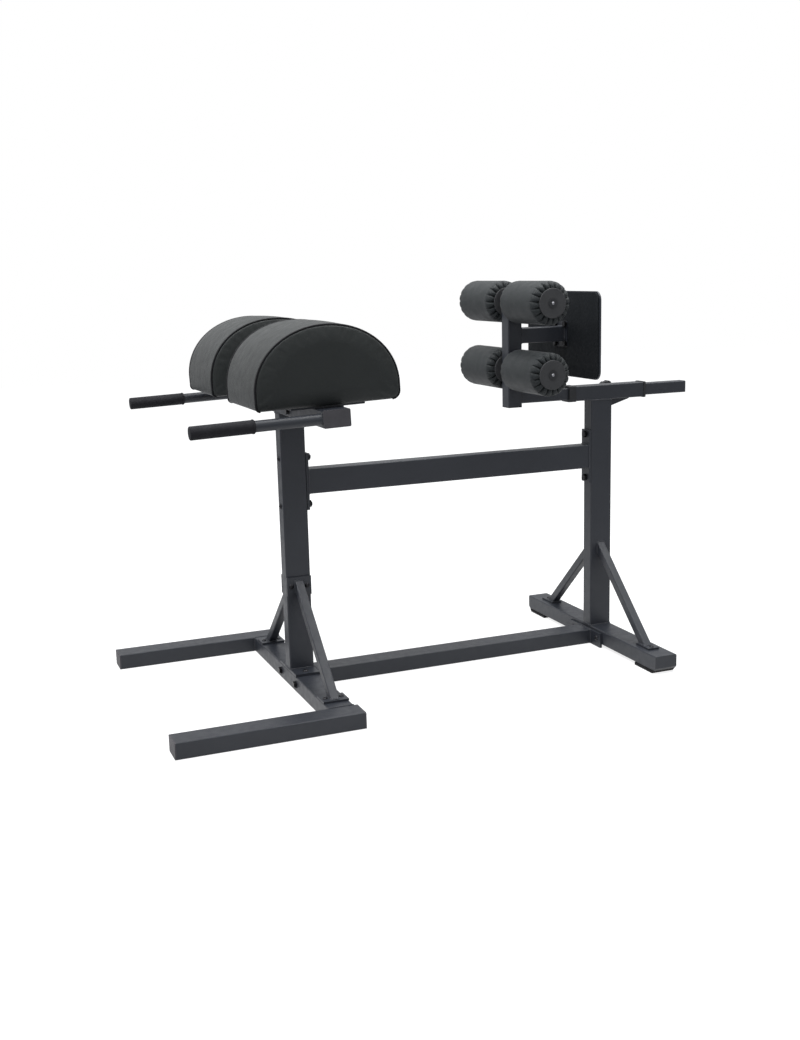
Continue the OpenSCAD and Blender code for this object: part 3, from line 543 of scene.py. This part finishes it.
def bead(centre, across, along, width, height, corner=TUBE_ROUND, on_floor=False, radius=BEAD_RADIUS):
    """Rippled bead round a tube's section, which spans width across and height along.
    On the floor it goes up one side, over the top and down the other."""
    flat = rounded_loop(width, height, corner)
    if on_floor:
        lowest = radius * FLOOR_GAP - height / 2
        right = Vector((width / 2, lowest))
        left = Vector((-width / 2, lowest))
        flat = [right] + [p for p in flat if p.y > 0] + [left]
    loop = [Vector(centre) + Vector(across) * p.x + Vector(along) * p.y for p in flat]
    path = resample(loop, BEAD_PITCH / STEPS_PER_RIPPLE, not on_floor)
    turn = 2 * math.pi / STEPS_PER_RIPPLE
    radii = [radius * (1 + RIPPLE * math.cos(turn * i)) for i in range(len(path))]
    return sweep(path, radii, BEAD_SIDES, not on_floor)


def round_bead(centre, across, along, diameter):
    """Rippled bead round the end of a round tube or bar."""
    return bead(centre, across, along, diameter, diameter, diameter / 2 - ROUND_SLACK)


X = (1, 0, 0)
Y = (0, 1, 0)
Z = (0, 0, 1)


def brace_beads(x, top_y, top_z, foot_y, foot_z):
    """Beads at both ends of a slanted brace and of its mirror image."""
    run = foot_y - top_y
    drop = top_z - foot_z
    slant = math.hypot(run, drop)
    tall = BRACE_SIDE * slant / run
    wide = BRACE_SIDE * slant / drop
    shapes = []
    for side in (-1, 1):
        shapes.append(bead((x, side * top_y, top_z), X, Z, BRACE_SIDE, tall, BRACE_ROUND))
        shapes.append(bead((x, side * foot_y, foot_z), X, Y, BRACE_SIDE, wide, BRACE_ROUND))
    return shapes


def tip_matrix():
    """Turns what stands level on the front upright to the cross tube's tilt."""
    low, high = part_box("front_upright")
    pivot = Matrix.Translation(((low.x + high.x) / 2, 0, CROSS_HEIGHT))
    return pivot @ Matrix.Rotation(-TOP_TILT, 4, "Y") @ pivot.inverted()


def tipped(shape):
    points, faces = shape
    turn = tip_matrix()
    return [turn @ point for point in points], faces


def add_weld_beads():
    front_low, front_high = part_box("front_upright")
    rear_low, rear_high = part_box("rear_upright")
    front_x = (front_low.x + front_high.x) / 2
    rear_x = rear_low.x + TUBE_LONG / 2
    cross_low, cross_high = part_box("front_cross_member")
    beam_low, beam_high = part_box("lower_beam")
    upper_low, upper_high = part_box("upper_beam")
    upper_z = (upper_low.z + upper_high.z) / 2
    front_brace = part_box("front_brace_right")
    rear_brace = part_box("rear_brace_right")
    handle_low, handle_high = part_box("handle_right")
    handle_y = (handle_low.y + handle_high.y) / 2
    handle_z = CROSS_HEIGHT + TUBE_SHORT / 2
    shapes = [
        bead((front_x, 0, front_low.z + PLATE), X, Y, TUBE_LONG, TUBE_SHORT),
        tipped(bead((front_x, 0, CROSS_HEIGHT), X, Y, TUBE_LONG, TUBE_SHORT)),
        bead((rear_x, 0, rear_low.z), X, Y, TUBE_LONG, TUBE_SHORT),
        bead((rear_x, 0, rear_high.z), X, Y, TUBE_LONG, TUBE_SHORT),
    ]
    for y in (cross_low.y, cross_high.y):
        shapes.append(bead((front_x, y, TUBE_SHORT / 2), X, Z, TUBE_LONG, TUBE_SHORT, on_floor=True))
    for x in (beam_low.x + PLATE, beam_high.x - PLATE):
        shapes.append(bead((x, 0, TUBE_SHORT / 2), Y, Z, TUBE_LONG, TUBE_SHORT, on_floor=True))
        shapes.append(bead((x, 0, upper_z), Y, Z, TUBE_SHORT, TUBE_LONG))
    for y in (-handle_y, handle_y):
        root = (front_x - TUBE_LONG / 2, y, handle_z)
        shapes.append(tipped(round_bead(root, Y, Z, HANDLE_D)))
    front_top = front_brace[1].z - FRONT_PLATE_REACH
    front_foot = front_brace[1].y - FRONT_PLATE_REACH
    shapes += brace_beads(front_x, TUBE_SHORT / 2 + BRACE_PLATE, front_top,
                          front_foot, TUBE_SHORT + BRACE_PLATE)
    rear_foot = rear_brace[1].y - REAR_PLATE_REACH
    shapes += brace_beads(rear_x, TUBE_SHORT / 2, rear_brace_top(rear_brace),
                          rear_foot, rear_low.z + BRACE_PLATE)
    screw_low, screw_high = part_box("clamp_screw")
    screw_x = (screw_low.x + screw_high.x) / 2
    screw_z = (screw_low.z + screw_high.z) / 2
    shapes.append(round_bead((screw_x, TUBE_SHORT / 2, screw_z), X, Z, BOSS_D))
    attach(joined("frame_weld_beads", shapes, bead_highlight_paint), "frame")

    post_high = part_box("roller_post")[1]
    arm_low, arm_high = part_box("foot_plate_arm")
    slide_low, slide_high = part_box("slide_tube")
    arm_z = (arm_low.z + arm_high.z) / 2
    slide_z = (slide_low.z + slide_high.z) / 2
    flange_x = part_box("foot_plate")[0].x - BRACE_PLATE
    shapes = [
        bead((post_high.x, 0, slide_z), Y, Z, SLIDE_SIDE, SLIDE_SIDE, radius=FINE_BEAD),
        bead((post_high.x, 0, arm_z), Y, Z, TUBE_SHORT, TUBE_SHORT),
        bead((flange_x, 0, arm_z), Y, Z, TUBE_SHORT, TUBE_SHORT),
    ]
    attach(joined("carriage_weld_beads", shapes, bead_highlight_paint), "carriage")


def rear_brace_top(box):
    """Height at which the rear brace's centre line meets the upright. The brace's slant
    depends on it, so it is found by repeated tries."""
    low, high = box
    foot_y = high.y - REAR_PLATE_REACH
    foot_z = low.z + BRACE_PLATE
    reach = foot_y - TUBE_SHORT / 2
    top = high.z
    for attempt in range(20):
        slant = math.hypot(reach, top - foot_z)
        top = high.z - BRACE_SIDE / 2 * slant / reach
    return top


# Soft pieces

CLOTH_STRETCH = 40
CLOTH_SHEAR = 20
CLOTH_BENDING = 4
SMOOTH_PASSES = 10


def puff(piece, pinned, cap, pressure=4.0, frames=20):
    """Cloth under pressure between pinned points; no point moves further than the cap."""
    before = [v.co.copy() for v in piece.data.vertices]
    group = piece.vertex_groups.new(name="pinned")
    group.add(sorted(pinned), 1.0, "REPLACE")
    cloth = piece.modifiers.new("cloth", "CLOTH")
    cloth.settings.use_pressure = True
    cloth.settings.uniform_pressure_force = pressure
    cloth.settings.vertex_group_mass = "pinned"
    cloth.settings.effector_weights.gravity = 0
    cloth.settings.tension_stiffness = CLOTH_STRETCH
    cloth.settings.compression_stiffness = CLOTH_STRETCH
    cloth.settings.shear_stiffness = CLOTH_SHEAR
    cloth.settings.bending_stiffness = CLOTH_BENDING
    cloth.collision_settings.use_collision = False
    cloth.point_cache.frame_start = 1
    cloth.point_cache.frame_end = frames
    for step in range(1, frames + 1):
        scene.frame_set(step)
    posed = piece.evaluated_get(bpy.context.evaluated_depsgraph_get())
    after = [v.co.copy() for v in posed.data.vertices]
    piece.modifiers.remove(cloth)
    piece.vertex_groups.remove(group)
    scene.frame_set(1)
    for vertex, start, end in zip(piece.data.vertices, before, after):
        move = end - start
        if move.length > cap:
            move *= cap / move.length
        vertex.co = start + move


def apply_modifiers(piece):
    """The piece's mesh becomes what its modifiers make of it."""
    posed = piece.evaluated_get(bpy.context.evaluated_depsgraph_get())
    mesh = bpy.data.meshes.new_from_object(posed)
    old = piece.data
    piece.modifiers.clear()
    piece.data = mesh
    bpy.data.meshes.remove(old)


def remesh(piece, voxel):
    modifier = piece.modifiers.new("voxels", "REMESH")
    modifier.mode = "VOXEL"
    modifier.voxel_size = voxel
    modifier.use_smooth_shade = True
    smooth = piece.modifiers.new("smooth", "SMOOTH")
    smooth.factor = 0.5
    smooth.iterations = SMOOTH_PASSES
    apply_modifiers(piece)


def subdivide(piece):
    modifier = piece.modifiers.new("subdivision", "SUBSURF")
    modifier.levels = 1
    modifier.render_levels = 1
    apply_modifiers(piece)
    piece.data.polygons.foreach_set("use_smooth", [True] * len(piece.data.polygons))


def copy_piece(source, name, change):
    """A copy of a piece with its mesh changed by a matrix."""
    made = source.copy()
    made.data = source.data.copy()
    made.data.transform(change)
    if change.determinant() < 0:
        made.data.flip_normals()
    made.name = name
    scene.collection.objects.link(made)
    return made


# Pads

PAD_LENGTH = 430 * MM
PAD_WIDTH = 300 * MM
PAD_HEIGHT = 230 * MM
PAD_INNER = 100 * MM
PAD_BASE = CROSS_HEIGHT + TUBE_SHORT + 6 * MM
BOARD_T = 12 * MM
BOARD_IN = 24 * MM
# Play round the board in its pocket, and how far the cutter starts below the pad
POCKET_PLAY = 0.4 * MM
POCKET_UNDER = 5 * MM

# The side view: an arch that springs from a round heel and a tighter toe. The skin starts
# this far inside the CAD pad, because puffing swells it
SKIN_SINK = 1 * MM
ARCH_SPRING = 44 * MM
ARCH_STEPS = 80
ARCH_FULLNESS = 0.94
ARCH_HEIGHT_POWER = 0.97
OUTER_FULLNESS = 0.05
OUTER_DROP = 2.5 * MM
HEEL_R = 24 * MM
HEEL_LEAST = 8 * MM
TOE_R = 12 * MM
TOE_LEAST = 6 * MM
CORNER_STEPS = 8
# An inset outline rises from the base by this share of its inset, up to a limit
BASE_RISE = 0.8
BASE_MOST = 28 * MM
# Rows of the band between the seams, as shares of half its width, and its crown
BAND_ROWS = (-0.6, -0.2, 0.2, 0.6)
BAND_CROWN = 3 * MM
# How far in from the seam a side panel's rings lie, and how far out they bulge, in mm
BULGE = ((0, 0), (3, 2.4), (7, 4.8), (13, 7.2), (21, 8.8), (32, 9.6), (60, 10.2))

# The seams stand out a little from the CAD pad's sides
SEAM_OUT = 3 * MM
SEAM_STEP = 2.5 * MM
PAD_VOXEL = 5 * MM
# Puffing moves no point further than the cap, and none that is this near the base or a seam
PAD_CAP = 3 * MM
PINNED_BASE = 2 * MM
PINNED_SEAM = 5 * MM
# The piping lies a little sunk in a groove that is pressed in along the seam
PIPING_R = 3.0 * MM
PIPING_SIDES = 10
PIPING_SUNK = 1.9 * MM
GROOVE_DEPTH = 3.2 * MM
GROOVE_WIDTH = 4.5 * MM


def pad_outline(side, inset=0.0):
    """A pad's side view as (x, z) round from its heel over the arch to its toe, base at 0.
    Its arch is a little lower towards the outer side, where side is 1, than the inner, -1."""
    outer = (side + 1) / 2
    base = min(inset * BASE_RISE, BASE_MOST)
    inset = inset + SKIN_SINK
    half = PAD_LENGTH / 2 - inset
    rise = PAD_HEIGHT - ARCH_SPRING - inset - outer * OUTER_DROP
    heel = max(HEEL_R - inset * 0.4, HEEL_LEAST)
    toe = max(TOE_R - inset * 0.2, TOE_LEAST)
    fullness = ARCH_FULLNESS + OUTER_FULLNESS * outer
    corner = [k * math.pi / 2 / CORNER_STEPS for k in range(CORNER_STEPS + 1)]
    points = []
    for angle in corner:
        points.append((half - heel * (1 - math.sin(angle)), base + heel * (1 - math.cos(angle))))
    for k in range(ARCH_STEPS + 1):
        angle = k * math.pi / ARCH_STEPS
        x = half * math.copysign(abs(math.cos(angle)) ** fullness, math.cos(angle))
        points.append((x, ARCH_SPRING + rise * math.sin(angle) ** ARCH_HEIGHT_POWER))
    for angle in reversed(corner):
        points.append((-half + toe * (1 - math.sin(angle)), base + toe * (1 - math.cos(angle))))
    return points


def pad_block(name, centre, half_width):
    """Closed solid of a pad: a slightly crowned band between the seams and two side panels,
    which rise quickly from the seam and are nearly flat in the middle."""
    rings = []
    for inset, rise in reversed(BULGE):
        rings.append((-half_width - rise * MM, pad_outline(-1, inset * MM)))
    for side in BAND_ROWS:
        crown = BAND_CROWN * (1 - side * side)
        outline = [(x, z + crown * min(1.0, z / ARCH_SPRING)) for x, z in pad_outline(side)]
        rings.append((side * half_width, outline))
    for inset, rise in BULGE:
        rings.append((half_width + rise * MM, pad_outline(1, inset * MM)))
    points = [centre + Vector((x, y, z)) for y, outline in rings for x, z in outline]
    count = len(rings[0][1])
    faces = []
    for i in range(len(rings) - 1):
        for k in range(count):
            m = (k + 1) % count
            faces.append((i * count + k, (i + 1) * count + k, (i + 1) * count + m, i * count + m))
    faces.append(tuple(range(count)))
    faces.append(tuple((len(rings) - 1) * count + k for k in range(count - 1, -1, -1)))
    return mesh_object(name, points, faces, pad_skin)


def seam_path(centre, side, half_width, sunk=0.0):
    """The seam's way over the arch, from the heel's foot to the toe's."""
    path = [centre + Vector((x, side * (half_width - sunk), z)) for x, z in pad_outline(side, sunk)]
    return resample(path, SEAM_STEP, False)


def points_tree(points):
    """A search tree of the points."""
    tree = KDTree(len(points))
    for index, point in enumerate(points):
        tree.insert(point, index)
    tree.balance()
    return tree


def press_seams(piece, centre, seam_tree):
    """Draws the skin in along the seams, as the thread does."""
    middle = centre + Vector((0, 0, ARCH_SPRING))
    for vertex in piece.data.vertices:
        near, _, away = seam_tree.find(vertex.co)
        if away < 3 * GROOVE_WIDTH:
            inward = middle - near
            inward.y = 0
            to_middle = Vector((0, math.copysign(1, centre.y - near.y), 0))
            inward = (inward.normalized() + to_middle).normalized()
            vertex.co += inward * GROOVE_DEPTH * math.exp(-(away / GROOVE_WIDTH) ** 2)


def cut_pocket(piece, low, high):
    """Takes the board's pocket out of a pad."""
    corners = [(x, y, z) for x in (low.x, high.x) for y in (low.y, high.y) for z in (low.z, high.z)]
    faces = [(0, 1, 3, 2), (4, 6, 7, 5), (0, 4, 5, 1), (2, 3, 7, 6), (0, 2, 6, 4), (1, 5, 7, 3)]
    cutter = mesh_object("pocket_cutter", corners, faces, pad_skin, smooth=False)
    cut = piece.modifiers.new("pocket", "BOOLEAN")
    cut.operation = "DIFFERENCE"
    cut.solver = "EXACT"
    cut.object = cutter
    apply_modifiers(piece)
    old = cutter.data
    bpy.data.objects.remove(cutter)
    bpy.data.meshes.remove(old)


def add_pads():
    """One pad is simulated on the right, and its mirror image stands on the left."""
    low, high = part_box("front_upright")
    centre = Vector(((low.x + high.x) / 2, PAD_INNER + PAD_WIDTH / 2, PAD_BASE))
    half_width = PAD_WIDTH / 2 + SEAM_OUT
    board_half = Vector((PAD_LENGTH / 2 - BOARD_IN, PAD_WIDTH / 2 - BOARD_IN, 0))
    pad = pad_block("right_pad_cover", centre, half_width)
    remesh(pad, PAD_VOXEL)
    inner_seam = seam_path(centre, -1, half_width)
    outer_seam = seam_path(centre, 1, half_width)
    seam_tree = points_tree(inner_seam + outer_seam)
    base = centre.z + PINNED_BASE
    pinned = [v.index for v in pad.data.vertices
              if v.co.z < base or seam_tree.find(v.co)[2] < PINNED_SEAM]
    puff(pad, pinned, PAD_CAP)
    subdivide(pad)
    press_seams(pad, centre, seam_tree)
    for vertex in pad.data.vertices:
        vertex.co.z = max(vertex.co.z, centre.z)
    play = Vector((POCKET_PLAY, POCKET_PLAY, 0))
    cut_pocket(pad, centre - board_half - play - Vector((0, 0, POCKET_UNDER)),
               centre + board_half + play + Vector((0, 0, BOARD_T + POCKET_PLAY)))
    piping_shapes = []
    for side in (-1, 1):
        path = seam_path(centre, side, half_width, PIPING_SUNK)
        piping_shapes.append(sweep(path, [PIPING_R] * len(path), PIPING_SIDES, False))
    piping = joined("right_pad_piping", piping_shapes, piping_and_groove_shade_skin)
    tip = tip_matrix()
    pad.data.transform(tip)
    piping.data.transform(tip)
    mirror = Matrix.Scale(-1, 4, Vector((0, 1, 0)))
    for source, name, node in ((pad, "left_pad_cover", "pad_left"), (piping, "left_pad_piping", None)):
        twin = copy_piece(source, name, mirror)
        if node:
            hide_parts(node)
        attach(twin, "frame")
    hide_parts("pad_right")
    attach(pad, "frame")
    attach(piping, "frame")


# Rollers

ROLLER_R = 68 * MM
RIM_R = 46.5 * MM
SHOULDER = 22 * MM
SHOULDER_STEPS = 14
END_GAP = 0.6 * MM
# Radius, place along and share of the pleats' depth of the two rows under the end disc
END_ROWS = ((18 * MM, 0.6 * MM, 0.0), (40 * MM, 1.0 * MM, 0.3))
# Share of the pleats' depth and place along, in mm, of the rows where the pleats run out
LONG_ROWS = ((0.07, 27), (0.045, 33), (0.02, 41), (0.0, 52), (0.0, 66), (0.0, 84), (0.0, 102))
# The pleats fade over the shoulder to this share of their depth
SHOULDER_SHARE = 0.10

PLEATS = 18
PLEAT_SPACING = 360 / PLEATS
PLEAT_DEPTH = 8.5 * MM
PLEAT_SWELL = 1.5 * MM
# Degrees from a pleat's groove of the points round a roller, close together at the groove
PLEAT_OFFSETS = (-10, -7.2, -5.2, -3.7, -2.5, -1.5, -0.7, 0, 0.7, 1.5, 2.5, 3.7, 5.2, 7.2)
# Each pleat is turned by up to this many degrees, and its depth and width vary
PLEAT_SHIFT = 1.3
PLEAT_DEPTHS = (0.75, 1.15)
PLEAT_WIDTHS = (0.8, 1.5)
ROLLER_SEED = 7
# Degrees by which the one cover is turned on each axle, so that no two look the same
ROLLER_TURNS = {"upper_left": 4, "upper_right": 61, "lower_left": 147, "lower_right": 232}


def roller_rows(length):
    """Profile rows (radius, place along, outward normal, share of the pleats' depth)."""
    rows = [(radius, along, (0, -1), share) for radius, along, share in END_ROWS]
    drop = ROLLER_R - RIM_R
    for k in range(SHOULDER_STEPS + 1):
        angle = k * math.pi / 2 / SHOULDER_STEPS
        radius = RIM_R + drop * math.sin(angle)
        along = END_GAP + SHOULDER * (1 - math.cos(angle))
        normal = Vector((SHOULDER * math.sin(angle), -drop * math.cos(angle))).normalized()
        share = 1.0 - (k / SHOULDER_STEPS) ** 1.6
        rows.append((radius, along, (normal.x, normal.y), max(share, SHOULDER_SHARE)))
    for share, along in LONG_ROWS:
        rows.append((ROLLER_R, along * MM, (1, 0), share))
    middle = [(ROLLER_R, length / 2, (1, 0), 0.0)]
    far = [(r, length - a, (n[0], -n[1]), s) for r, a, n, s in reversed(rows)]
    return rows + middle + far


def roller_mesh(name, length, seed):
    """Foam roller whose cover is gathered into pleats at both ends, along Y from 0."""
    rng = random.Random(seed)
    rows = roller_rows(length)
    half = len(rows) // 2
    ends = [[], []]
    for end in ends:
        for pleat in range(PLEATS):
            shift = rng.uniform(-PLEAT_SHIFT, PLEAT_SHIFT)
            depth = rng.uniform(*PLEAT_DEPTHS)
            width = rng.uniform(*PLEAT_WIDTHS)
            end.append((shift, depth, width))
    columns = [(k, offset) for k in range(PLEATS) for offset in PLEAT_OFFSETS]
    points = []
    for index, (radius, along, normal, share) in enumerate(rows):
        pleats = ends[0 if index <= half else 1]
        for k, offset in columns:
            shift, depth, width = pleats[k]
            away = abs(offset) / (PLEAT_SPACING / 2)
            angle = math.radians(k * PLEAT_SPACING + offset + shift * (1 - away))
            sigma = width * (0.8 + 1.3 * share)
            groove = math.exp(-(abs(offset) / sigma) ** 1.4)
            swell = PLEAT_SWELL * share * math.sin(math.pi * away / 2) ** 2
            move = swell - PLEAT_DEPTH * depth * share * groove
            r = radius + normal[0] * move
            y = along + normal[1] * move
            points.append(Vector((r * math.cos(angle), y, r * math.sin(angle))))
    count = len(columns)
    faces = []
    for i in range(len(rows) - 1):
        for k in range(count):
            m = (k + 1) % count
            faces.append((i * count + k, i * count + m, (i + 1) * count + m, (i + 1) * count + k))
    faces.append(tuple(range(count - 1, -1, -1)))
    faces.append(tuple((len(rows) - 1) * count + k for k in range(count)))
    return mesh_object(name, points, faces, roller_skin)


def add_rollers():
    """Four gathered covers, made once and turned differently on each axle."""
    low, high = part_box("upper_right_roller")
    length = high.y - low.y
    first = roller_mesh("roller_cover", length, ROLLER_SEED)
    for place, degrees in ROLLER_TURNS.items():
        node = place + "_roller"
        low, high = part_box(node)
        turn = Matrix.Rotation(math.radians(degrees), 4, "Y")
        flip = Matrix.Identity(4) if low.y > 0 else Matrix.Scale(-1, 4, Vector((0, 1, 0)))
        near = low.y if low.y > 0 else high.y
        move = Matrix.Translation(((low.x + high.x) / 2, near, (low.z + high.z) / 2))
        cover = copy_piece(first, place + "_roller_cover", move @ flip @ turn)
        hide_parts(node)
        attach(cover, node + "_body")
    old = first.data
    bpy.data.objects.remove(first)
    bpy.data.meshes.remove(old)


set_camera()
set_world()
for lamp in LAMPS:
    add_area_light(*lamp)
add_floor()
dress_nodes()
add_weld_beads()
add_pads()
add_rollers()
